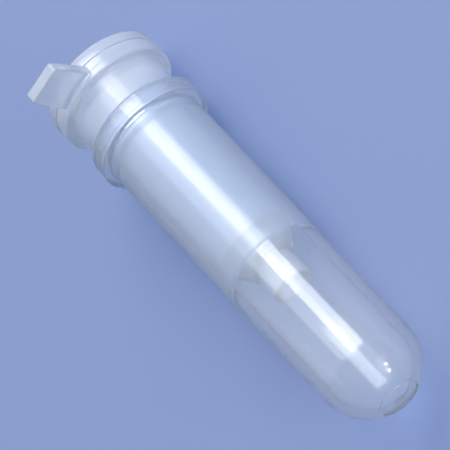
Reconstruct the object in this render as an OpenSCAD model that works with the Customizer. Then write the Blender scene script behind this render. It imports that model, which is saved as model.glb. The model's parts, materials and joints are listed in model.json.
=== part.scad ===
// Spin column in its collection tube, lying as it comes to rest.
// Every piece is drawn standing, with the closed tip of the tube at z = 0,
// and laid_down() then sets the whole object on the floor.

/* [Collection tube] */
// Outer diameter of the frosted body
tube_d = 10.8; // [10:0.1:12]
// Height of the tube, from its closed tip to its mouth
tube_h = 40.7; // [38:0.1:46]
// Thickness of the body's wall
tube_wall = 0.95; // [0.8:0.05:1.2]
// Height of the polished stretch, up to the step where the frosting starts
clear_h = 19.1; // [12:0.1:26]
// Depth of the step where the frosting starts
frost_step = 0.06; // [0.03:0.01:0.12]
// Diameter of the polished stretch where the round end begins
dome_d = 10.46; // [10:0.02:10.6]
// Height that the round end loses at its tip
tip_flat = 0.15; // [0.1:0.01:0.25]

/* [Gate mark] */
// Diameter of the ring left by the mould's gate insert
gate_d = 4.1; // [3:0.1:5]
// Depth of the ring's step
gate_sink = 0.08; // [0.04:0.01:0.12]
// Diameter of the gate's stub
gate_stub_d = 1.1; // [0.6:0.1:1.6]
// Height of the gate's stub
gate_stub_h = 0.12; // [0.06:0.01:0.2]

/* [Tube collar] */
// How far the collar stands out of the body
collar_w = 0.91; // [0.6:0.01:1.2]
// Height of the collar
collar_h = 2.2; // [1.6:0.1:3]
// Radius of the collar's upper edge
collar_round = 0.4; // [0.2:0.05:0.6]
// Height of the sharp bead at the collar's lower edge
collar_bead_h = 0.38; // [0.25:0.01:0.6]
// Depth of the groove over that bead, and how far the bead stands proud
collar_groove = 0.05; // [0.03:0.01:0.1]
// Radius of the hollow under the collar
collar_fillet = 0.22; // [0.1:0.01:0.35]
// Thickness of the tube's wall round the seat of the column
mouth_wall = 0.78; // [0.6:0.01:0.9]

/* [Column body] */
// Gap round the fitting land in the tube's mouth
fit_gap = 0.04; // [0.02:0.01:0.1]
// Gap between faces that sit on each other
seat_gap = 0.02; // [0.01:0.01:0.05]
// Height of the fitting land in the tube's mouth
land_h = 2.85; // [1.5:0.05:4]
// Gap between the barrel and the tube's wall, at the barrel's lower end
barrel_gap = 0.17; // [0.1:0.01:0.4]
// Thickness of the barrel's wall
barrel_wall = 0.75; // [0.6:0.05:1]
// Depth of the barrel below the tube's mouth
barrel_h = 18.9; // [15:0.1:20]
// Height of the funnel under the barrel
funnel_h = 2.4; // [1.8:0.1:3]
// Outer diameter of the outlet nozzle
nozzle_d = 4.3; // [3.8:0.1:4.8]
// Bore of the outlet nozzle
nozzle_bore = 2.6; // [1.6:0.1:2.8]
// Length of the outlet nozzle
nozzle_len = 3.4; // [2:0.1:4.5]
// Radius at the root of the outlet nozzle
nozzle_root = 0.45; // [0.2:0.05:0.7]
// Bevel at the end of the outlet nozzle
nozzle_bevel = 0.2; // [0.1:0.05:0.4]

/* [Filter seat] */
// Thickness of the floor between the funnel's shoulder and the filter
floor_t = 0.8; // [0.6:0.05:1.2]
// Width of the ledge that carries the filter
ledge_w = 0.55; // [0.4:0.05:0.7]
// Depth of the drain cone under the filter
drain_h = 2.4; // [1.8:0.1:2.6]
// Number of ribs in the drain cone
rib_count = 6; // [4:1:8]
// Thickness of a rib
rib_t = 0.5; // [0.3:0.05:0.7]
// Height of a rib
rib_h = 1.5; // [1:0.1:1.6]

/* [Filter stack] */
// Gap round the discs in the barrel
disc_gap = 0.05; // [0.03:0.01:0.1]
// Thickness of the porous support disc
frit_t = 1.5; // [1:0.1:2]
// Thickness of the silica membrane
membrane_t = 1.2; // [0.6:0.1:1.8]
// Height of the retaining ring
ring_h = 1.2; // [0.8:0.1:2]
// Width of the retaining ring
ring_w = 0.6; // [0.4:0.05:0.8]
// Bevel on the retaining ring's edges
ring_bevel = 0.15; // [0.1:0.01:0.18]

/* [Neck and rim] */
// Width of the shoulder that sits on the tube's mouth
shoulder_w = 0.53; // [0.4:0.01:0.7]
// Height of the neck between the mouth and the rim
neck_h = 3.9; // [3:0.1:6]
// How much the neck's radius grows towards the rim
neck_flare = 0.49; // [0.2:0.01:0.6]
// Radius where the neck meets the rim
neck_fillet = 0.3; // [0.15:0.05:0.4]
// How far the rim's lower band stands out of the neck
band_step = 0.75; // [0.5:0.01:1]
// Height of the rim's lower band
band_h = 1.72; // [1.6:0.01:2.2]
// Radius of the band's lower edge
band_round = 0.3; // [0.15:0.05:0.4]
// How far the rim's upper bead stands out of the band
bead_step = 0.08; // [0.04:0.01:0.15]
// Height of the rim's upper bead
bead_h = 1.53; // [1.4:0.01:2]
// Radius of the bead's edges
bead_round = 0.6; // [0.4:0.05:0.65]
// Thickness of the neck's wall where it meets the rim
neck_wall = 0.64; // [0.5:0.02:0.9]
// Height over the tube's mouth at which the barrel starts to widen
flare_start = 0; // [-0.6:0.1:0.4]
// Depth of the wide mouth
mouth_depth = 4.1; // [3.8:0.1:4.8]
// Bevel inside the mouth's edge
mouth_bevel = 0.3; // [0.15:0.05:0.4]

/* [Grip tab] */
// Length of the tab outside the rim's band
tab_len = 5.0; // [3.5:0.1:6]
// Thickness of the tab
tab_t = 1.2; // [0.8:0.05:1.2]
// Width of the tab at the rim
tab_root_w = 4.6; // [4:0.1:5.2]
// Width of the tab at its end
tab_end_w = 4.1; // [3.4:0.1:4.6]
// Radius of the tab's corners
tab_corner = 0.3; // [0.15:0.05:0.8]
// Height of the tab over the band's lower edge
tab_rise = 0.5; // [0.4:0.05:0.5]
// How far the tab leans from straight up as the object lies, in degrees
tab_lean = 14; // [0:1:20]

/* [Hidden] */
$fn = 96;
overlap = 0.1;

// Tube: radii and heights
tube_r = tube_d / 2;
dome_r = dome_d / 2;
dome_z = dome_r - tip_flat;
clear_top_r = tube_r - frost_step;
bore_low_r = dome_r - tube_wall;
bore_top_r = tube_r - tube_wall;
mouth_bore_r = tube_r - mouth_wall;
collar_r = tube_r + collar_w;
collar_z = tube_h - collar_h;
collar_edge = 0.08;
gate_r = gate_d / 2;
gate_edge_z = dome_z - sqrt(pow(dome_r, 2) - pow(gate_r, 2)) + gate_sink;
gate_rise = gate_edge_z - gate_stub_h;
gate_cap_r = (pow(gate_r, 2) + pow(gate_rise, 2)) / (2 * gate_rise);

// Column: heights, from the seat on the tube's mouth
seat_z = tube_h + seat_gap;
land_z = seat_z - land_h;
counterbore_z = land_z - 0.3;
barrel_z = seat_z - barrel_h;
nozzle_top_z = barrel_z - funnel_h;
nozzle_z = nozzle_top_z - nozzle_len;
rim_z = seat_z + neck_h;
bead_z = rim_z + band_h;
top_z = bead_z + bead_h;
mouth_z = top_z - mouth_depth;
ledge_z = barrel_z + floor_t;

// Column: radii, from the tube's bore
function bore_r(z) = bore_low_r + (bore_top_r - bore_low_r) * (z - dome_z) / (counterbore_z - dome_z);
barrel_r = bore_r(barrel_z) - barrel_gap;
chamber_r = barrel_r - barrel_wall;
land_r = mouth_bore_r - fit_gap;
neck_low_r = mouth_bore_r + shoulder_w;
neck_top_r = neck_low_r + neck_flare;
mouth_r = neck_top_r - neck_wall;
band_r = neck_top_r + band_step;
bead_r = band_r + bead_step;
nozzle_r = nozzle_d / 2;
drain_r = chamber_r - ledge_w;
drain_low_r = nozzle_bore / 2;
rib_in_r = drain_r - (drain_r - drain_low_r) * rib_h / drain_h;
disc_r = chamber_r - disc_gap;

// Filter stack: heights
frit_z = ledge_z + seat_gap;
membrane_z = frit_z + frit_t + seat_gap;
ring_z = membrane_z + membrane_t + seat_gap;

// Rest: the tube leans on its round end and on its collar or its rim, whichever stands out more
function lean(edge_z, edge_r, round_r) =
    atan((edge_r - round_r) / (edge_z - dome_z))
    - asin((dome_r - round_r) / norm([edge_z - dome_z, edge_r - round_r]));
rest_tilt = max(
    lean(collar_z + collar_edge, collar_r, collar_edge),
    lean(top_z - bead_round, bead_r, bead_round));
tab_reach = band_r + tab_len - tab_corner;
tab_side = atan((tab_root_w - tab_end_w) / 2 / tab_len);
tab_corner_y = tab_end_w / 2 + tab_corner * tan(tab_side) - tab_corner / cos(tab_side);
reach_x = (top_z - bead_round) * cos(rest_tilt) + (bead_r - bead_round) * sin(rest_tilt) + bead_round;

// Lays a standing object on the floor, with its tab leaning from the top and its box centred over the origin
module laid_down() {
    translate([
        (reach_x - gate_stub_d / 2 * sin(rest_tilt)) / 2,
        0,
        dome_r - dome_z * sin(rest_tilt)])
    rotate([0, rest_tilt - 90, 0])
    rotate([0, 0, tab_lean])
    children();
}

// Half of a disc, standing on the axis of a revolved outline
module half_disc(r, z) {
    intersection() {
        translate([0, z]) circle(r);
        translate([0, z - r]) square([r, 2 * r]);
    }
}

// Band of a revolved outline, from the axis to r, with its lower and upper edges rounded
module rounded_band(r, z, h, low_round, high_round) {
    translate([0, z]) square([r - max(low_round, high_round), h]);
    translate([0, z + low_round]) square([r, h - low_round - high_round]);
    translate([r - low_round, z + low_round]) circle(low_round);
    translate([r - high_round, z + h - high_round]) circle(high_round);
    translate([0, z]) square([r - low_round, h / 2]);
    translate([0, z + h / 2]) square([r - high_round, h / 2]);
}

// Filler of radius f for the hollow corner at (r, z), outside the radius and below the face
module hollow_corner(r, z, f) {
    difference() {
        translate([r - overlap, z - f]) square([f + overlap, f + overlap]);
        translate([r + f, z - f]) circle(f);
    }
}

// Tube outline: round end with its gate mark, polished taper, frosted cylinder and collar
module tube_outline() {
    difference() {
        half_disc(dome_r, dome_z);
        difference() {
            translate([0, -tip_flat - overlap]) square([gate_r, gate_edge_z + tip_flat + 2 * overlap]);
            translate([0, gate_stub_h + gate_cap_r]) circle(gate_cap_r, $fn = 360);
        }
    }
    square([gate_stub_d / 2, gate_edge_z + overlap]);
    polygon([[0, dome_z], [dome_r, dome_z], [clear_top_r, clear_h], [0, clear_h]]);
    translate([0, clear_h]) square([tube_r, tube_h - clear_h - collar_round]);
    hollow_corner(tube_r, collar_z, collar_fillet);
    rounded_band(collar_r, collar_z, collar_bead_h, collar_edge, collar_edge);
    translate([0, collar_z + collar_edge])
        square([collar_r - 2 * collar_groove, collar_h - collar_edge - collar_round]);
    rounded_band(collar_r - collar_groove, collar_z + collar_bead_h + collar_groove,
        collar_h - collar_bead_h - collar_groove, collar_groove, collar_round);
}

// Bore outline: round floor, tapered wall, wider seat for the column and a bevelled mouth
module tube_bore_outline() {
    half_disc(bore_low_r, dome_z);
    polygon([
        [0, dome_z], [bore_low_r, dome_z],
        [bore_r(counterbore_z), counterbore_z],
        [mouth_bore_r, counterbore_z + mouth_bore_r - bore_r(counterbore_z)],
        [mouth_bore_r, tube_h + overlap], [0, tube_h + overlap]]);
}

module collection_tube() {
    color([0.86, 0.89, 0.93, 0.55])
    laid_down()
    rotate_extrude()
    difference() {
        tube_outline();
        tube_bore_outline();
    }
}

// Column outline: nozzle, funnel, barrel, fitting land, flared neck and two-step rim
module column_outline() {
    polygon([
        [0, nozzle_z], [nozzle_r - nozzle_bevel, nozzle_z], [nozzle_r, nozzle_z + nozzle_bevel],
        [nozzle_r, nozzle_top_z + overlap], [0, nozzle_top_z + overlap]]);
    hollow_corner(nozzle_r, nozzle_top_z, nozzle_root);
    polygon([[0, nozzle_top_z], [nozzle_r + nozzle_root, nozzle_top_z], [barrel_r, barrel_z], [0, barrel_z]]);
    polygon([
        [0, barrel_z], [barrel_r, barrel_z], [barrel_r, land_z],
        [land_r, land_z + land_r - barrel_r], [land_r, seat_z], [0, seat_z]]);
    polygon([[0, seat_z], [neck_low_r, seat_z], [neck_top_r, rim_z], [0, rim_z]]);
    hollow_corner(neck_top_r - neck_flare * neck_fillet / neck_h, rim_z, neck_fillet);
    rounded_band(band_r, rim_z, band_h, band_round, bead_step);
    translate([0, bead_z - overlap]) square([band_r - bead_step, 2 * overlap]);
    rounded_band(bead_r, bead_z, bead_h, bead_step, bead_round);
}

// Inside of the column: nozzle bore, drain cone, chamber and flared mouth
module column_bore_outline() {
    drain_z = ledge_z - drain_h;
    flare_z = seat_z + flare_start;
    translate([0, nozzle_z - overlap]) square([drain_low_r, drain_z - nozzle_z + 2 * overlap]);
    polygon([[0, drain_z], [drain_low_r, drain_z], [drain_r, ledge_z], [0, ledge_z]]);
    polygon([
        [0, ledge_z], [chamber_r, ledge_z], [chamber_r, flare_z], [mouth_r, mouth_z],
        [mouth_r, top_z - mouth_bevel], [mouth_r + mouth_bevel, top_z],
        [mouth_r + mouth_bevel, top_z + overlap], [0, top_z + overlap]]);
}

// Ribs that hold the filter up over the drain cone
module drain_ribs() {
    for (i = [0 : rib_count - 1])
        rotate(i * 360 / rib_count)
        translate([rib_in_r, -rib_t / 2, ledge_z - rib_h])
        cube([drain_r + overlap - rib_in_r, rib_t, rib_h]);
}

// Flat tab that stands straight out of the rim's lower band, a little narrower at its end
module grip_tab() {
    root_x = mouth_r + (band_r - mouth_r) / 2;
    root_half = tab_root_w / 2 + (band_r - root_x) * tan(tab_side);
    side = [cos(tab_side), sin(tab_side)] * tab_corner;
    translate([0, 0, rim_z + tab_rise])
    linear_extrude(tab_t) {
        polygon([
            [root_x, -root_half],
            [tab_reach + side[1], -tab_corner_y - side[0]],
            [tab_reach + tab_corner, -tab_corner_y],
            [tab_reach + tab_corner, tab_corner_y],
            [tab_reach + side[1], tab_corner_y + side[0]],
            [root_x, root_half]]);
        for (y = [-tab_corner_y, tab_corner_y])
            translate([tab_reach, y]) circle(tab_corner);
    }
}

module column_body() {
    color([0.88, 0.91, 0.95, 0.6])
    laid_down() {
        rotate_extrude()
        difference() {
            column_outline();
            column_bore_outline();
        }
        drain_ribs();
        grip_tab();
    }
}

// Porous disc on the ledge and the ribs
module support_frit() {
    color([0.95, 0.95, 0.93])
    laid_down()
    translate([0, 0, frit_z])
    cylinder(h = frit_t, r = disc_r);
}

// Silica disc that binds the sample
module silica_membrane() {
    color([0.98, 0.98, 0.97])
    laid_down()
    translate([0, 0, membrane_z])
    cylinder(h = membrane_t, r = disc_r);
}

// Ring pressed in over the membrane, with bevelled edges
module retaining_ring() {
    ring_r = chamber_r - seat_gap;
    color([0.9, 0.92, 0.95, 0.7])
    laid_down()
    translate([0, 0, ring_z])
    rotate_extrude()
    polygon([
        [ring_r - ring_w, ring_bevel], [ring_r - ring_w + ring_bevel, 0],
        [ring_r - ring_bevel, 0], [ring_r, ring_bevel],
        [ring_r, ring_h - ring_bevel], [ring_r - ring_bevel, ring_h],
        [ring_r - ring_w + ring_bevel, ring_h], [ring_r - ring_w, ring_h - ring_bevel]]);
}

collection_tube();
column_body();
support_frit();
silica_membrane();
retaining_ring();
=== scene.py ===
"""Spin column in its collection tube: the looks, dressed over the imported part."""
import json
import math
import bpy
import numpy as np
from mathutils import Matrix


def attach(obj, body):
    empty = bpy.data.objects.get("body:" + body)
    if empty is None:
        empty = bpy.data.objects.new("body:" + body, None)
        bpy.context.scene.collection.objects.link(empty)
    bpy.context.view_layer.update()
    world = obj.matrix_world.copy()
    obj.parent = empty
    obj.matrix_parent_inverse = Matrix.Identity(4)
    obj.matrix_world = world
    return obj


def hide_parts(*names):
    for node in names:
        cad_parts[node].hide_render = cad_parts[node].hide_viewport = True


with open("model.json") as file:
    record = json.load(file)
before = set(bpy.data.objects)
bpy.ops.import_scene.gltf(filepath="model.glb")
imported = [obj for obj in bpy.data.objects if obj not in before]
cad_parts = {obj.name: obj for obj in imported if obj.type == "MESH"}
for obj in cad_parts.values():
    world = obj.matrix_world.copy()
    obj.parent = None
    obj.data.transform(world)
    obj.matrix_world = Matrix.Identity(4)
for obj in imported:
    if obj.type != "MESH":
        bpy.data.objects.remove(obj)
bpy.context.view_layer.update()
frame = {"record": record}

MM = 0.001

# -------------------------------------- sizes, in millimetres, standing on the tube's closed tip
# the collection tube's body, its frosting step, its round end and its gate mark
TUBE_R, TUBE_H, WALL = 5.4, 40.7, 0.95
CLEAR_H, FROST_STEP, FROST_RISE, FROST_ROUND = 19.1, 0.06, 0.3, 0.8
DOME_R, TIP_FLAT = 5.23, 0.15
DOME_Z = DOME_R - TIP_FLAT
GATE_R, GATE_SINK = 2.05, 0.08
STUB_R, STUB_H, STUB_FLARE, STUB_EDGE = 0.55, 0.12, 1.06, 0.05
LIP_W, LIP_H, LIP_START = 0.22, 0.05, 0.03

# its collar, with a bead and a groove, and the seat in its mouth
COLLAR_R, COLLAR_H, COLLAR_ROUND, COLLAR_EDGE = 6.31, 2.2, 0.4, 0.08
BEAD_H, GROOVE, COLLAR_FILLET, MOUTH_BORE_R = 0.38, 0.05, 0.22, 4.62
BEAD_EDGE, GROOVE_SHOULDER, GROOVE_HOLLOW, GROOVE_EDGE = 0.07, 0.015, 0.01, 0.04
MOUTH_EDGE, SEAT_EDGE, SEAT_HOLLOW = 0.06, 0.1, 0.2
COLLAR_Z = TUBE_H - COLLAR_H
BORE_LOW_R, BORE_TOP_R = DOME_R - WALL, TUBE_R - WALL

# where the column sits in it: shoulder, fitting land and barrel
SEAT_GAP = 0.02
SEAT_Z = TUBE_H + SEAT_GAP
LAND_Z, LAND_R = SEAT_Z - 2.85, MOUTH_BORE_R - 0.04
STEP_Z = LAND_Z - 0.3
BARREL_Z, FUNNEL_H = SEAT_Z - 18.9, 2.4


def tube_bore(z):
    """Radius of the tube's tapered bore at height z: a straight line from round end to seat."""
    return BORE_LOW_R + (BORE_TOP_R - BORE_LOW_R) * (z - DOME_Z) / (STEP_Z - DOME_Z)


# the column's barrel, funnel and nozzle
BARREL_R = tube_bore(BARREL_Z) - 0.17
CHAMBER_R = BARREL_R - 0.75
NOZZLE_R, NOZZLE_BORE_R, NOZZLE_LEN, NOZZLE_ROOT, NOZZLE_BEVEL = 2.15, 1.3, 3.4, 0.45, 0.2
FUNNEL_Z = BARREL_Z - FUNNEL_H
NOZZLE_Z = FUNNEL_Z - NOZZLE_LEN
NOZZLE_LIP, NOZZLE_EDGE, NOZZLE_SIDE = 0.05, 0.08, 0.1
FUNNEL_EDGE, BARREL_EDGE = 0.04, 0.25
LAND_HOLLOW, LAND_EDGE, LAND_TOP = 0.06, 0.1, 0.03

# its ledge, drain cone and ribs
LEDGE_Z, LEDGE_W, DRAIN_H = BARREL_Z + 0.8, 0.55, 2.4
DRAIN_R = CHAMBER_R - LEDGE_W
RIB_COUNT, RIB_T, RIB_H, RIB_SINK = 6, 0.5, 1.5, 0.1
LEDGE_EDGE, DRAIN_EDGE = 0.05, 0.15

# its neck, the rim's band with a mould seam, the rim's top bead and its mouth
NECK_LOW_R, NECK_TOP_R, NECK_FILLET, NECK_FOOT = 5.15, 5.64, 0.3, 0.05
RIM_Z, BAND_H, TOP_H, TOP_ROUND = SEAT_Z + 3.9, 1.72, 1.53, 0.6
BAND_R, TOP_R, STEP_ROUND = 6.39, 6.47, 0.08
BAND_EDGE, BEAD_DRAFT = 0.16, 0.12
SEAM_Z, SEAM_W, SEAM_DEPTH, SEAM_EDGE, SEAM_HOLLOW = RIM_Z + 0.8, 0.12, 0.03, 0.03, 0.04
SPLIT_Z, TOP_Z = RIM_Z + BAND_H, RIM_Z + BAND_H + TOP_H
SPLIT_HALF, SPLIT_DEPTH, SPLIT_EDGE, SPLIT_HOLLOW = 0.01, 0.09, 0.07, 0.01
MOUTH_R, MOUTH_Z, MOUTH_BEVEL = 5.0, TOP_Z - 4.1, 0.3
BEVEL_EDGE, MOUTH_HOLLOW, FLARE_HOLLOW = 0.1, 0.3, 0.5

# its tab, which grows out of the band
TAB_LEN, TAB_T, TAB_ROOT_W, TAB_END_W, TAB_CORNER, TAB_RISE = 5.0, 1.2, 4.6, 4.1, 0.3, 0.5
TAB_EDGE, TAB_EDGE_STEPS, TAB_EDGE_ANGLE = 0.14, 4, math.radians(50)

# the porous disc, the membrane and the ring, stacked on the ledge
DISC_R = CHAMBER_R - 0.05
FRIT_T, MEMBRANE_T, RING_H, RING_W, RING_BEVEL = 1.5, 1.2, 1.2, 0.6, 0.15
FRIT_EDGE, MEMBRANE_EDGE, RING_EDGE = 0.08, 0.15, 0.03
FRIT_Z = LEDGE_Z + SEAT_GAP
MEMBRANE_Z = FRIT_Z + FRIT_T + SEAT_GAP
RING_Z, RING_R = MEMBRANE_Z + MEMBRANE_T + SEAT_GAP, CHAMBER_R - SEAT_GAP

# how fine the meshes are: faces round the axis, longest run, points in arcs, sharp edges
TURNS, DISC_TURNS, LONGEST_RUN = 240, 160, 0.6
CAP_POINTS, LIP_POINTS, DOME_POINTS, FLOOR_POINTS = 14, 9, 44, 40
SHARP_ANGLE = math.radians(35)

# ------------------------------------------------ where the object lies, from the record's mounts
mounts = {m["name"]: m for m in frame["record"]["mounts"]}
DOWN = np.array(mounts["rotor_fit"]["axis"], float)
DOWN /= np.linalg.norm(DOWN)
BODY_MID = (CLEAR_H + COLLAR_Z - COLLAR_FILLET) / 2
TIP = np.array(mounts["rotor_fit"]["pos_m"], float) / MM + DOWN * BODY_MID
toward_tab = np.array(mounts["collar_seat"]["pos_m"], float) / MM - (TIP - DOWN * COLLAR_Z)
toward_tab -= DOWN * (toward_tab @ DOWN)
TAB = toward_tab / np.linalg.norm(toward_tab)
SIDE = np.cross(-DOWN, TAB)
BASIS = np.stack([TAB, SIDE, -DOWN])


def lay(points):
    """Standing millimetres to metres in the row frame: p = (tip + x tab + y side + z up) / 1000."""
    return (TIP + np.asarray(points, float) @ BASIS) * MM


# ------------------------------------------------------------------ camera
AZIMUTH, ELEVATION, ROLL = 46.2229, 43.2884, -98.5477
DISTANCE, LENS, SENSOR = 337.622, 282.0, 36.0
NEAREST, FARTHEST = 0.02, 20.0
AIM = np.array([0.0, 0.0, 6.5])
AIM_RIGHT, AIM_UP = -1.4586, 0.9236


def camera_axes(azimuth, elevation, roll):
    """Right, up and backward unit vectors of a camera at that azimuth and elevation, rolled.

    back = (cos e cos a, cos e sin a, sin e), and right = cos r level + sin r (back x level).
    """
    a, e, r = map(math.radians, (azimuth, elevation, roll))
    back = np.array([math.cos(e) * math.cos(a), math.cos(e) * math.sin(a), math.sin(e)])
    level = np.array([-math.sin(a), math.cos(a), 0.0])
    above = np.cross(back, level)
    right = math.cos(r) * level + math.sin(r) * above
    return right, np.cross(back, right), back


def turned_object(obj, right, up, back, place):
    """Places a camera or lamp so that it looks along -back, with place in millimetres."""
    rows = [[right[i], up[i], back[i], place[i] * MM] for i in range(3)]
    obj.matrix_world = Matrix(rows + [[0, 0, 0, 1]])
    bpy.context.scene.collection.objects.link(obj)
    return obj


CAM_RIGHT, CAM_UP, CAM_BACK = camera_axes(AZIMUTH, ELEVATION, ROLL)
eye = AIM + AIM_RIGHT * CAM_RIGHT + AIM_UP * CAM_UP + DISTANCE * CAM_BACK
camera = bpy.data.objects.new("camera", bpy.data.cameras.new("camera"))
camera.data.sensor_width, camera.data.lens = SENSOR, LENS
camera.data.clip_start, camera.data.clip_end = NEAREST, FARTHEST
turned_object(camera, CAM_RIGHT, CAM_UP, CAM_BACK, eye)
bpy.context.scene.camera = camera


# ------------------------------------------------------------------ surfaces
def arc(r, z, radius, start, end, count):
    """Points (r + radius cos a, z + radius sin a) for a from start to end degrees."""
    a = np.radians(np.linspace(start, end, count))
    return np.stack([r + radius * np.cos(a), z + radius * np.sin(a)], 1)


def rounded(corners, closed=False, steps=7):
    """An outline through corners (r, z, radius), each rounded by an arc tangent to its two sides.

    With unit sides d0 into the corner and d1 out of it, turning by t, the arc starts
    radius tan(t/2) before the corner along d0 and ends as far after it along d1:
    p(s) = c - radius (n cos s - d0 sin s), n pointing to the centre c.
    """
    xy = np.array([c[:2] for c in corners], float)
    parts = []
    for i, (_, _, radius) in enumerate(corners):
        p = xy[i]
        if radius <= 0 or (not closed and i in (0, len(corners) - 1)):
            parts.append([p])
            continue
        d0, d1 = p - xy[i - 1], xy[(i + 1) % len(xy)] - p
        d0, d1 = d0 / np.linalg.norm(d0), d1 / np.linalg.norm(d1)
        cross = d0[0] * d1[1] - d0[1] * d1[0]
        turn = math.atan2(abs(cross), d0 @ d1)
        normal = np.array([-d0[1], d0[0]]) * math.copysign(1, cross)
        centre = p - d0 * radius * math.tan(turn / 2) + normal * radius
        s = np.linspace(0, turn, steps)[:, None]
        parts.append(centre - normal * radius * np.cos(s) + d0 * radius * np.sin(s))
    return np.vstack(parts)


def spaced(line, gap, closed=False):
    """The same outline, each run longer than gap cut into equal parts a + (b - a) i / n."""
    nxt = np.roll(line, -1, 0) if closed else line[1:]
    cur = line if closed else line[:-1]
    keep = np.linalg.norm(nxt - cur, axis=1) > 1e-7
    cur, nxt = cur[keep], nxt[keep]
    out = [a + (b - a) * np.arange(n)[:, None] / n for a, b, n in
           zip(cur, nxt, np.ceil(np.linalg.norm(nxt - cur, axis=1) / gap).astype(int))]
    return np.vstack(out if closed else out + [line[-1:]])


def mesh_object(name, points, faces):
    """A smoothly shaded object from standing points in millimetres and outward polygons."""
    mesh = bpy.data.meshes.new(name)
    mesh.from_pydata(lay(points).tolist(), [], faces)
    mesh.validate()
    mesh.shade_smooth()
    mesh.set_sharp_from_angle(angle=SHARP_ANGLE)
    obj = bpy.data.objects.new(name, mesh)
    bpy.context.scene.collection.objects.link(obj)
    return obj


def revolved(line, turns):
    """Surface p(i, k) = (r_i cos a_k, r_i sin a_k, z_i) of an outline (r, z), a_k = 2 pi k / turns.

    An outline whose ends are on the axis gets one vertex at each pole; any other one closes on
    itself. The outline runs with the material on its left, so every face looks out of it.
    """
    a = np.arange(turns) * 2 * math.pi / turns
    poles = line[0, 0] < 1e-9 and line[-1, 0] < 1e-9
    body = line[1:-1] if poles else line
    n = len(body)
    grid = np.stack([np.outer(body[:, 0], np.cos(a)), np.outer(body[:, 0], np.sin(a)),
                     np.repeat(body[:, 1:], turns, 1)], 2).reshape(-1, 3)
    i = np.arange(n - 1 if poles else n)[:, None]
    k = np.arange(turns)[None]
    j, k1 = (i + 1) % n, (k + 1) % turns
    quads = np.stack([i * turns + k, i * turns + k1, j * turns + k1, j * turns + k], 2)
    faces = quads.reshape(-1, 4).tolist()
    if poles:
        grid = np.vstack([grid, [[0, 0, line[0, 1]], [0, 0, line[-1, 1]]]])
        low, high, k, k1 = n * turns, n * turns + 1, k.ravel(), k1.ravel()
        top = (n - 1) * turns
        faces += np.stack([np.full(turns, low), k1, k], 1).tolist()
        faces += np.stack([np.full(turns, high), top + k, top + k1], 1).tolist()
    return grid, faces


def turned_piece(name, line, turns=TURNS):
    """A revolved piece: an outline whose ends are off the axis closes on itself."""
    closed = line[0, 0] > 1e-9
    return mesh_object(name, *revolved(spaced(line, LONGEST_RUN, closed), turns))


def tube_line():
    """Outline of the tube, from the stub on its tip, up the outside and down the bore.

    The disc inside the gate mark is the cap of a sphere: half width g and rise h give it the
    radius (g^2 + h^2) / 2h. The lip round it lifts the round end by LIP_H sin t along its normal.
    """
    dome_gate_z = DOME_Z - math.sqrt(DOME_R ** 2 - GATE_R ** 2)
    rise = dome_gate_z + GATE_SINK - STUB_H
    stub_top_r = STUB_R * STUB_FLARE
    cap_r = (GATE_R ** 2 + rise ** 2) / (2 * rise)
    cap_edge, stub_edge = (math.degrees(math.asin(r / cap_r)) for r in (GATE_R, stub_top_r))
    stub = rounded([(0, 0, 0), (STUB_R, 0, STUB_EDGE), (stub_top_r, STUB_H, 0)], steps=5)
    cap = arc(0, STUB_H + cap_r, cap_r, stub_edge - 90, cap_edge - 90, CAP_POINTS)
    start, end = (math.degrees(math.asin((GATE_R + width) / DOME_R)) - 90
                  for width in (LIP_START, LIP_W))
    dome = np.vstack([arc(0, DOME_Z, DOME_R, start, end, LIP_POINTS),
                      arc(0, DOME_Z, DOME_R, end + 1, 0, DOME_POINTS)])
    swell = np.sin(np.linspace(0, math.pi, LIP_POINTS))[:, None]
    dome[:LIP_POINTS] += (dome[:LIP_POINTS] - (0, DOME_Z)) / DOME_R * LIP_H * swell
    band_r = COLLAR_R - GROOVE
    groove_r = band_r - GROOVE
    bead_top = COLLAR_Z + BEAD_H
    step_r = tube_bore(STEP_Z)
    side = rounded([
        (DOME_R, DOME_Z, 0),
        (TUBE_R - FROST_STEP, CLEAR_H, FROST_ROUND),
        (TUBE_R, CLEAR_H + FROST_RISE, FROST_ROUND),
        (TUBE_R, COLLAR_Z, COLLAR_FILLET),
        (COLLAR_R, COLLAR_Z, COLLAR_EDGE),
        (COLLAR_R, bead_top, BEAD_EDGE),
        (groove_r, bead_top, GROOVE_SHOULDER),
        (groove_r, bead_top + GROOVE, GROOVE_HOLLOW),
        (band_r, bead_top + GROOVE, GROOVE_EDGE),
        (band_r, TUBE_H, COLLAR_ROUND),
        (MOUTH_BORE_R, TUBE_H, MOUTH_EDGE),
        (MOUTH_BORE_R, STEP_Z + MOUTH_BORE_R - step_r, SEAT_EDGE),
        (step_r, STEP_Z, SEAT_HOLLOW),
        (BORE_LOW_R, DOME_Z, 0)])
    floor_arc = arc(0, DOME_Z, BORE_LOW_R, 0, -90, FLOOR_POINTS)
    floor_arc[-1, 0] = 0
    return np.vstack([stub, cap, dome[:-1], side, floor_arc[1:]])


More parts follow.
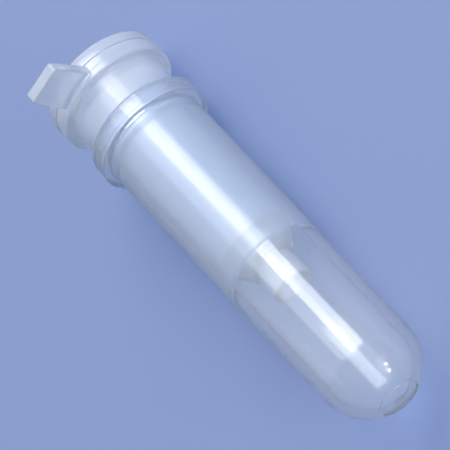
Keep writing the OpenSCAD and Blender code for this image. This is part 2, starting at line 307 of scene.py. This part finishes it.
def column_line():
    """Outline of the column, up its outside from the nozzle to the rim, and down its inside."""
    return rounded([
        (NOZZLE_BORE_R, NOZZLE_Z, NOZZLE_LIP),
        (NOZZLE_R - NOZZLE_BEVEL, NOZZLE_Z, NOZZLE_EDGE),
        (NOZZLE_R, NOZZLE_Z + NOZZLE_BEVEL, NOZZLE_SIDE),
        (NOZZLE_R, FUNNEL_Z, NOZZLE_ROOT),
        (NOZZLE_R + NOZZLE_ROOT, FUNNEL_Z, FUNNEL_EDGE),
        (BARREL_R, BARREL_Z, BARREL_EDGE),
        (BARREL_R, LAND_Z, LAND_HOLLOW),
        (LAND_R, LAND_Z + LAND_R - BARREL_R, LAND_EDGE),
        (LAND_R, SEAT_Z, LAND_TOP),
        (NECK_LOW_R, SEAT_Z, NECK_FOOT),
        (NECK_TOP_R, RIM_Z, NECK_FILLET),
        (BAND_R, RIM_Z, BAND_EDGE),
        (BAND_R, SEAM_Z - SEAM_W / 2, SEAM_EDGE),
        (BAND_R - SEAM_DEPTH, SEAM_Z, SEAM_HOLLOW),
        (BAND_R, SEAM_Z + SEAM_W / 2, SEAM_EDGE),
        (BAND_R, SPLIT_Z - SPLIT_HALF, SPLIT_EDGE),
        (BAND_R - SPLIT_DEPTH, SPLIT_Z, SPLIT_HOLLOW),
        (TOP_R, SPLIT_Z + SPLIT_HALF, STEP_ROUND),
        (TOP_R - BEAD_DRAFT, TOP_Z, TOP_ROUND),
        (MOUTH_R + MOUTH_BEVEL, TOP_Z, BEVEL_EDGE),
        (MOUTH_R, TOP_Z - MOUTH_BEVEL, BEVEL_EDGE),
        (MOUTH_R, MOUTH_Z, MOUTH_HOLLOW),
        (CHAMBER_R, SEAT_Z, FLARE_HOLLOW),
        (CHAMBER_R, LEDGE_Z, LEDGE_EDGE),
        (DRAIN_R, LEDGE_Z, LEDGE_EDGE),
        (NOZZLE_BORE_R, LEDGE_Z - DRAIN_H, DRAIN_EDGE)], closed=True)


def disc_line(z, height, radius, edge):
    """Outline of a solid disc with softened edges."""
    return rounded([(0, z, 0), (radius, z, edge), (radius, z + height, edge), (0, z + height, 0)],
                   steps=5)


def ring_line():
    """Outline of the retaining ring, bevelled on all four edges."""
    low, high, b = RING_Z, RING_Z + RING_H, RING_BEVEL
    inner = RING_R - RING_W
    corners = [(inner, low + b), (inner + b, low), (RING_R - b, low), (RING_R, low + b),
               (RING_R, high - b), (RING_R - b, high), (inner + b, high), (inner, high - b)]
    return rounded([(r, z, RING_EDGE) for r, z in corners], closed=True, steps=3)


def prism(outline, low, high):
    """A closed prism over an outline: points (x, y, low) and (x, y, high), joined all round."""
    n = len(outline)
    xy = np.asarray(outline, float)
    points = np.vstack([np.c_[xy, np.full(n, low)], np.c_[xy, np.full(n, high)]])
    i = np.arange(n)
    j = (i + 1) % n
    sides = np.stack([i, j, j + n, i + n], 1).tolist()
    return points, [i[::-1].tolist(), (i + n).tolist()] + sides


def apply_modifiers(obj):
    """Replaces the object's mesh by what its modifiers make of it."""
    bpy.context.view_layer.update()
    graph = bpy.context.evaluated_depsgraph_get()
    obj.data = bpy.data.meshes.new_from_object(obj.evaluated_get(graph))
    obj.modifiers.clear()
    return obj


def joined(target, others):
    """Unites closed pieces with a target into one closed surface."""
    for other in others:
        union = target.modifiers.new("union", "BOOLEAN")
        union.operation, union.solver, union.object = "UNION", "EXACT", other
    apply_modifiers(target)
    for other in others:
        bpy.data.objects.remove(other)
    target.data.shade_smooth()
    target.data.set_sharp_from_angle(angle=SHARP_ANGLE)
    return target


def grip_tab():
    """The flat tab, with rounded corners and softened edges, its root inside the rim's band.

    Its half width at x is TAB_END_W / 2 + (end_x - x) tan(lean), where tan(lean) is half of what
    the width gains from end to root, over the length.
    """
    lean = math.atan((TAB_ROOT_W - TAB_END_W) / 2 / TAB_LEN)
    root_x = (MOUTH_R + BAND_R) / 2
    end_x = BAND_R + TAB_LEN
    root, end = (TAB_END_W / 2 + (end_x - x) * math.tan(lean) for x in (root_x, end_x))
    line = rounded([(root_x, -root, 0), (end_x, -end, TAB_CORNER), (end_x, end, TAB_CORNER),
                    (root_x, root, 0)], closed=True, steps=9)
    tab = mesh_object("tab", *prism(line, RIM_Z + TAB_RISE, RIM_Z + TAB_RISE + TAB_T))
    edges = tab.modifiers.new("edges", "BEVEL")
    edges.width, edges.segments, edges.angle_limit = TAB_EDGE * MM, TAB_EDGE_STEPS, TAB_EDGE_ANGLE
    return apply_modifiers(tab)


def drain_rib(index):
    """One rib of the drain cone, turned about the axis by 2 pi index / RIB_COUNT."""
    inner = DRAIN_R - (DRAIN_R - NOZZLE_BORE_R) * RIB_H / DRAIN_H
    outer, half = DRAIN_R + RIB_SINK, RIB_T / 2
    line = np.array([(inner, -half), (outer, -half), (outer, half), (inner, half)])
    a = 2 * math.pi * index / RIB_COUNT
    turn = np.array([[math.cos(a), math.sin(a)], [-math.sin(a), math.cos(a)]])
    return mesh_object("rib", *prism(line @ turn, LEDGE_Z - RIB_H, LEDGE_Z))


# ------------------------------------------------------------------ shader arithmetic
class Signal:
    """A shader socket that adds, subtracts, multiplies and divides as numbers do.

    node() makes any other node.
    """

    def __init__(self, tree, socket):
        self.tree, self.socket = tree, socket

    def node(self, kind, inputs, output=0, **settings):
        """Makes a node, sets its attributes, links or sets its inputs, and returns one output."""
        made = self.tree.nodes.new("ShaderNode" + kind)
        for key, value in settings.items():
            setattr(made, key, value)
        for key, value in inputs.items():
            if isinstance(value, Signal):
                self.tree.links.new(value.socket, made.inputs[key])
            else:
                made.inputs[key].default_value = value
        return Signal(self.tree, made.outputs[output])

    def _math(self, operation, first, second=0.0, clamp=False):
        return self.node("Math", {0: first, 1: second}, operation=operation, use_clamp=clamp)

    def __add__(self, other): return self._math("ADD", self, other)
    def __radd__(self, other): return self._math("ADD", other, self)
    def __sub__(self, other): return self._math("SUBTRACT", self, other)
    def __rsub__(self, other): return self._math("SUBTRACT", other, self)
    def __mul__(self, other): return self._math("MULTIPLY", self, other)
    def __rmul__(self, other): return self._math("MULTIPLY", other, self)
    def __truediv__(self, other): return self._math("DIVIDE", self, other)
    def __rtruediv__(self, other): return self._math("DIVIDE", other, self)

    def above(self, edge, width):
        """0 below the edge and 1 above it, over a ramp: clamp((x - edge) / width + 1/2)."""
        return self._math("ADD", (self - edge) / width, 0.5, clamp=True)


def new_material(name):
    """A material, its node tree, its principled node and a signal to start others from."""
    material = bpy.data.materials.new(name)
    material.use_nodes = True
    tree = material.node_tree
    shader = tree.nodes["Principled BSDF"]
    place = Signal(tree, tree.nodes.new("ShaderNodeTexCoord").outputs["Object"])
    return material, tree, shader, place


def along_tube(place):
    """Millimetres from the closed tip, up the tube: z = (place - tip) . up."""
    up = -DOWN
    dot = place.node("VectorMath", {0: place, 1: tuple(up)}, "Value", operation="DOT_PRODUCT")
    return dot * (1 / MM) - float(TIP @ up)


def from_axis(place):
    """Millimetres from the tube's axis: |(place - tip) x up|."""
    up = -DOWN
    rel = place.node("VectorMath", {0: place, 1: tuple(TIP * MM)}, operation="SUBTRACT")
    flat = place.node("VectorMath", {0: rel, 1: tuple(up)}, operation="CROSS_PRODUCT")
    return place.node("VectorMath", {0: flat}, "Value", operation="LENGTH") * (1 / MM)


def noise(place, scale, detail=3.0, rough=0.5):
    """Even noise from 0 to 1, at that many features a metre."""
    return place.node("TexNoise", {"Vector": place, "Scale": scale, "Detail": detail,
                                   "Roughness": rough})


def bump(place, height, strength, distance=0.1 * MM):
    """A bump of that height field, with distance in metres."""
    return place.node("Bump", {"Height": height, "Strength": strength, "Distance": distance})


def set_inputs(tree, shader, **values):
    """Sets or links a shader's inputs; underscores stand for spaces."""
    for key, value in values.items():
        socket = shader.inputs[key.replace("_", " ")]
        if isinstance(value, Signal):
            tree.links.new(value.socket, socket)
        else:
            socket.default_value = value


def mixed(tree, factor, first, second):
    """The first shader where the factor is 0 and the second where it is 1; all are outputs."""
    mix = tree.nodes.new("ShaderNodeMixShader")
    tree.links.new(factor, mix.inputs["Fac"])
    tree.links.new(first, mix.inputs[1])
    tree.links.new(second, mix.inputs[2])
    return mix.outputs["Shader"]


def lit_through(tree, shader, tint):
    """The shader, but rays from lamps pass straight through it, tinted, and light the inside."""
    clear = tree.nodes.new("ShaderNodeBsdfTransparent")
    clear.inputs["Color"].default_value = tint
    lamp_ray = tree.nodes.new("ShaderNodeLightPath").outputs["Is Shadow Ray"]
    return mixed(tree, lamp_ray, shader.outputs["BSDF"], clear.outputs["BSDF"])


def show(tree, surface):
    """The material shows that shader output."""
    tree.links.new(surface, tree.nodes["Material Output"].inputs["Surface"])


# ------------------------------------------------------------------ materials
# colours of the plastics: near white, with a blue cast that is a painted reflection of blue
# surroundings; and the tints that lamp rays take from them
CLEAR_TUBE, CLEAR_TINT = (0.94, 0.97, 1.0, 1), (0.84, 0.86, 0.9, 1)
FROSTED_TUBE, FROSTED_TINT = (0.84, 0.91, 1.0, 1), (0.6, 0.65, 0.74, 1)
MILKY_COLUMN, COLUMN_TINT = (0.88, 0.93, 1.0, 1), (0.55, 0.59, 0.66, 1)
RING_PLASTIC, PLASTIC_IOR = (0.88, 0.9, 0.95, 1), 1.49
POROUS_WHITE, FELT_WHITE = (0.86, 0.87, 0.86, 1), (0.9, 0.9, 0.89, 1)

# where the tube's outside is matt: outside this radius, up to just below the collar
MATT_R, MATT_TOP, MATT_EDGE = 4.9, COLLAR_Z - 0.25, 0.1
# where it is milky: above the frosting step, and on the gate mark
MILKY_Z, GATE_TOP, MILKY_EDGE = CLEAR_H + 0.1, 1.1, 0.3
GATE_REACH = GATE_R + 0.15


def tube_material():
    """Natural polypropylene: polished and clearer below the step, frosted and milky above it; its
    blue cast is a painted reflection of blue surroundings.
    """
    material, tree, polished, place = new_material("tube polypropylene")
    z, r = along_tube(place), from_axis(place)
    clouds = noise(place, 260.0)
    smooth = 0.08 + 0.03 * clouds
    matt = r.above(MATT_R, MATT_EDGE) * (1.0 - z.above(MATT_TOP, MATT_EDGE))
    set_inputs(tree, polished, Base_Color=CLEAR_TUBE, Roughness=smooth, IOR=PLASTIC_IOR,
               Transmission_Weight=0.93)
    frosted = tree.nodes.new("ShaderNodeBsdfPrincipled")
    set_inputs(tree, frosted, Base_Color=FROSTED_TUBE, IOR=PLASTIC_IOR, Transmission_Weight=0.8,
               Roughness=smooth + matt * (0.13 + 0.03 * clouds))
    at_gate = (1.0 - z.above(GATE_TOP, MILKY_EDGE)) * (1.0 - r.above(GATE_REACH, MATT_EDGE))
    milky = z.above(MILKY_Z, MILKY_EDGE) + at_gate
    show(tree, mixed(tree, milky.socket, lit_through(tree, polished, CLEAR_TINT),
                     lit_through(tree, frosted, FROSTED_TINT)))
    return material


def column_material():
    """Natural polypropylene of the column, milkier, with a satin skin; its blue cast is a painted
    reflection of blue surroundings.
    """
    material, tree, shader, place = new_material("column polypropylene")
    set_inputs(tree, shader, Base_Color=MILKY_COLUMN, IOR=PLASTIC_IOR, Transmission_Weight=0.62,
               Roughness=0.13 + 0.08 * noise(place, 300.0))
    show(tree, lit_through(tree, shader, COLUMN_TINT))
    return material


def porous_material():
    """Sintered polyethylene: white, matt and grainy."""
    material, tree, shader, place = new_material("porous polyethylene")
    grain = noise(place, 3000.0, 3.0, 0.6)
    set_inputs(tree, shader, Base_Color=POROUS_WHITE, Roughness=0.7, Normal=bump(place, grain, 0.6))
    return material


def felt_material():
    """White silica felt: matt, with fine fibres."""
    material, tree, shader, place = new_material("silica felt")
    fibres = noise(place, 2200.0, 5.0, 0.7)
    set_inputs(tree, shader, Base_Color=FELT_WHITE, Roughness=0.85,
               Normal=bump(place, fibres, 0.5))
    return material


def ring_material():
    """Natural polypropylene of the retaining ring."""
    material, tree, shader, place = new_material("ring polypropylene")
    set_inputs(tree, shader, Base_Color=RING_PLASTIC, IOR=PLASTIC_IOR, Transmission_Weight=0.5,
               Roughness=0.25 + 0.05 * noise(place, 400.0))
    return material


# ------------------------------------------------------------------ the pieces
def dress(obj, material, node):
    """The piece gets its material, rides on the part's one body, and stands for its solid."""
    obj.data.materials.clear()
    obj.data.materials.append(material)
    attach(obj, "root")
    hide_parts(node)
    return obj


tube = turned_piece("tube_shell", tube_line())
column = joined(turned_piece("column_shell", column_line()),
                [grip_tab()] + [drain_rib(i) for i in range(RIB_COUNT)])
frit = turned_piece("frit_disc", disc_line(FRIT_Z, FRIT_T, DISC_R, FRIT_EDGE), DISC_TURNS)
membrane = turned_piece("membrane_disc", disc_line(MEMBRANE_Z, MEMBRANE_T, DISC_R, MEMBRANE_EDGE),
                        DISC_TURNS)
ring = turned_piece("holding_ring", ring_line(), DISC_TURNS)
dress(tube, tube_material(), "collection_tube")
dress(column, column_material(), "column_body")
dress(frit, porous_material(), "support_frit")
dress(membrane, felt_material(), "silica_membrane")
dress(ring, ring_material(), "retaining_ring")


# ------------------------------------------------------------------ floor
FLOOR_COLOUR, FLOOR_LEVEL, FLOOR_HALF = (0.33, 0.42, 0.70, 1), 0.78, 3.0


def floor_material():
    """A plain pale floor, with the object's shadow.

    What is seen through the plastic or mirrored in it is the floor's plain colour, unshadowed.
    """
    material, tree, shader, _ = new_material("floor")
    set_inputs(tree, shader, Base_Color=FLOOR_COLOUR, Roughness=0.85, Specular_IOR_Level=0.2)
    path = tree.nodes.new("ShaderNodeLightPath").outputs
    through = Signal(tree, path["Is Transmission Ray"]) + Signal(tree, path["Is Glossy Ray"])
    glow = tree.nodes.new("ShaderNodeEmission")
    set_inputs(tree, glow, Color=FLOOR_COLOUR, Strength=FLOOR_LEVEL)
    show(tree, mixed(tree, through.socket, shader.outputs["BSDF"], glow.outputs["Emission"]))
    return material


floor_mesh = bpy.data.meshes.new("floor")
corners = [(x * FLOOR_HALF, y * FLOOR_HALF, 0) for x, y in ((-1, -1), (1, -1), (1, 1), (-1, 1))]
floor_mesh.from_pydata(corners, [], [(0, 1, 2, 3)])
floor = bpy.data.objects.new("floor", floor_mesh)
floor.data.materials.append(floor_material())
bpy.context.scene.collection.objects.link(floor)


# ------------------------------------------------------------------ lamps and world
SIDE_NEAR = SIDE * math.copysign(1, SIDE @ CAM_BACK)
DAYLIGHT, COOL, AMBER, WHITE = (1.0, 0.99, 0.97), (0.93, 0.96, 1.0), (1.0, 0.86, 0.66), (1, 1, 1)
SKY_COLOUR, SKY_LEVEL = (0.75, 0.82, 1.0, 1), 0.38
STREAK_ACROSS, STREAK_ALONG = 0.876, 0.482
LIFT = np.array([0, 0, 1])


def across(angle):
    """Unit vector square to the tube's axis, at that angle from the tab to the camera's side."""
    a = math.radians(angle)
    return math.cos(a) * TAB + math.sin(a) * SIDE_NEAR


def along_streak(angle):
    """Direction whose light the straight wall mirrors to the camera, at that angle round it."""
    return STREAK_ACROSS * across(angle) - STREAK_ALONG * DOWN


def softbox(name, direction, distance, wide, long, strength, colour, shape="ELLIPSE"):
    """An area lamp in that direction from the object, wide across the tube and long along it."""
    back = np.asarray(direction, float) / np.linalg.norm(direction)
    right = np.cross(DOWN, back)
    right /= np.linalg.norm(right)
    lamp = bpy.data.lights.new(name, "AREA")
    lamp.shape, lamp.size, lamp.size_y = shape, wide * MM, long * MM
    lamp.energy, lamp.color = strength, colour
    obj = bpy.data.objects.new(name, lamp)
    return turned_object(obj, right, np.cross(back, right), back, AIM + back * distance)


# name, direction, distance, width and length in millimetres, watts, colour and shape
softbox("key softbox", along_streak(32), 900, 490, 440, 3.6, DAYLIGHT, "RECTANGLE")
softbox("key surround", along_streak(10), 920, 720, 560, 2.0, DAYLIGHT)
softbox("side softbox", along_streak(-42), 1000, 1300, 560, 0.9, COOL)
softbox("fill softbox", 0.6 * across(100) + 0.6 * DOWN + 0.4 * LIFT, 1200, 900, 900, 1.5, COOL)
softbox("warm point", 0.680 * across(63.2) + 0.734 * DOWN, 600, 44, 44, 0.25, AMBER)
softbox("white point", 0.495 * across(74.2) + 0.869 * DOWN + 0.03 * LIFT, 600, 50, 50, 0.4, WHITE)

world = bpy.data.worlds.new("studio")
world.use_nodes = True
set_inputs(world.node_tree, world.node_tree.nodes["Background"],
           Color=SKY_COLOUR, Strength=SKY_LEVEL)
bpy.context.scene.world = world
bpy.context.scene.view_settings.view_transform = "Standard"
